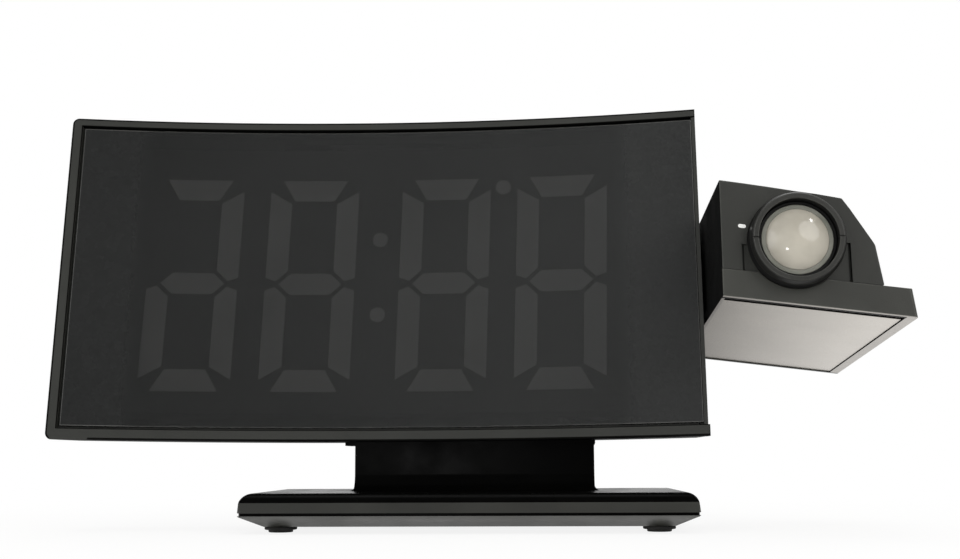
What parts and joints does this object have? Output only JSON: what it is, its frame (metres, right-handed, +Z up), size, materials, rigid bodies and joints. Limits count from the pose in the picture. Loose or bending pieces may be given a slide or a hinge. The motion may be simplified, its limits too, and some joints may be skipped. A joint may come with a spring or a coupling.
{
  "type": "projection alarm clock",
  "caption": "Curved digital alarm clock on a slab stand, with a projector head at its right end that turns on a hollow axle, a focus ring and press keys.",
  "frame": {"origin": "middle of the footprint of the whole clock, on the table, under the feet", "axes": "+Z up, -Y towards the person who reads the clock, +X to the right of that person, towards the projector head"},
  "size_m": [0.2418, 0.1069, 0.1245],
  "materials": {
    "black_gloss": "glossy",
    "dark_grey": "satin",
    "casing_black": "satin",
    "smoked_screen": "smoked, glossy",
    "reflector_grey": "matte",
    "diffuser": "translucent",
    "led_package": "satin",
    "circuit_board": "solder mask",
    "component_black": "matte",
    "switch_metal": "satin",
    "key_black": "satin",
    "foot_rubber": "matte",
    "screw_steel": "satin",
    "contact_brass": "satin",
    "steel_grey": "satin",
    "cone_black": "matte",
    "bush_plastic": "satin",
    "connector_white": "satin",
    "lead_red": "satin",
    "silver_plate": "satin anodised",
    "white_mark": "printed",
    "barrel_black": "matte",
    "lens_glass": "polished",
    "slide_dark": "polished",
    "sink_aluminium": "extruded"
  },
  "bodies": {
    "clock": {"stand_body": "black_gloss", "base_cover": "dark_grey", "rubber_feet": "foot_rubber", "base_screws": "screw_steel", "neck_screws": "screw_steel", "front_frame": "casing_black", "screen_lens": "smoked_screen", "digit_reflector": "reflector_grey", "hour_tens_segments": "diffuser", "hour_units_segments": "diffuser", "minute_tens_segments": "diffuser", "minute_units_segments": "diffuser", "colon_dots": "diffuser", "alarm_dot": "diffuser", "segment_leds": "led_package", "display_board": "circuit_board", "board_header": "component_black", "main_board": "circuit_board", "board_chips": "component_black", "button_switches": "switch_metal", "board_screws": "screw_steel", "rear_cover": "casing_black", "housing_screws": "screw_steel", "speaker_frame": "steel_grey", "speaker_cone": "cone_black", "power_inlet": "component_black", "charging_port": "screw_steel", "coin_cell": "screw_steel", "cell_contacts": "contact_brass", "axle_bush": "bush_plastic", "friction_washer": "steel_grey", "lead_connector": "connector_white", "lamp_lead": "lead_red"},
    "projector_head": {"head_axle": "steel_grey", "axle_clip": "steel_grey", "axle_screws": "screw_steel", "lamp_connector": "connector_white", "head_frame": "dark_grey", "head_plate": "silver_plate", "head_shell": "casing_black", "head_screws": "screw_steel", "index_mark": "white_mark", "light_tube": "barrel_black", "image_slide": "slide_dark", "condenser_lens": "lens_glass", "lamp_board": "circuit_board", "lamp_led": "led_package", "heat_sink": "sink_aluminium"},
    "focus_ring": {"focus_ring": "casing_black"},
    "focus_lens": {"lens_barrel": "barrel_black", "projector_lens": "lens_glass"},
    "snooze_bar": {"snooze_bar": "key_black"},
    "battery_cap": {"battery_cap": "casing_black"},
    "set_button": {"set_button": "key_black"},
    "alarm_button": {"alarm_button": "key_black"},
    "up_button": {"up_button": "key_black"},
    "down_button": {"down_button": "key_black"},
    "projection_button": {"projection_button": "key_black"}
  },
  "joints": [
    {"name": "head_turn", "type": "hinge", "parent": "clock", "child": "projector_head", "pos_m": [0.07025, 0.00243, 0.07306], "axis": [1, 0, 0], "range_deg": [-179, 1]},
    {"name": "focus_turn", "type": "hinge", "parent": "projector_head", "child": "focus_ring", "pos_m": [0.09, -0.04718, 0.07689], "axis": [0, -0.9962, 0.0872], "range_deg": [0, 121]},
    {"name": "lens_focus", "type": "slide", "parent": "projector_head", "child": "focus_lens", "axis": [0, 0.9962, -0.0872], "range_m": [0, 0.003]},
    {"name": "snooze_press", "type": "slide", "parent": "clock", "child": "snooze_bar", "axis": [0, -0.1478, -0.989], "range_m": [0, 0.0007], "stiffness_N_per_m": 700, "springref_m": -0.0006},
    {"name": "set_press", "type": "slide", "parent": "clock", "child": "set_button", "axis": [0, -0.989, 0.1478], "range_m": [0, 0.0007], "stiffness_N_per_m": 500, "springref_m": -0.0005},
    {"name": "alarm_press", "type": "slide", "parent": "clock", "child": "alarm_button", "axis": [0, -0.989, 0.1478], "range_m": [0, 0.0007], "stiffness_N_per_m": 500, "springref_m": -0.0005},
    {"name": "up_press", "type": "slide", "parent": "clock", "child": "up_button", "axis": [0, -0.989, 0.1478], "range_m": [0, 0.0007], "stiffness_N_per_m": 500, "springref_m": -0.0005},
    {"name": "down_press", "type": "slide", "parent": "clock", "child": "down_button", "axis": [0, -0.989, 0.1478], "range_m": [0, 0.0007], "stiffness_N_per_m": 500, "springref_m": -0.0005},
    {"name": "projection_press", "type": "slide", "parent": "clock", "child": "projection_button", "axis": [0, -0.989, 0.1478], "range_m": [0, 0.0007], "stiffness_N_per_m": 500, "springref_m": -0.0005},
    {"name": "battery_cap_turn", "type": "hinge", "parent": "clock", "child": "battery_cap", "pos_m": [-0.09385, 0.0172, 0.04684], "axis": [0, 0.989, -0.1478], "range_deg": [0, 50]}
  ],
  "couplings": [
    {"joint": "focus_turn", "follows": "lens_focus", "rad_per_m": 698.13}
  ]
}
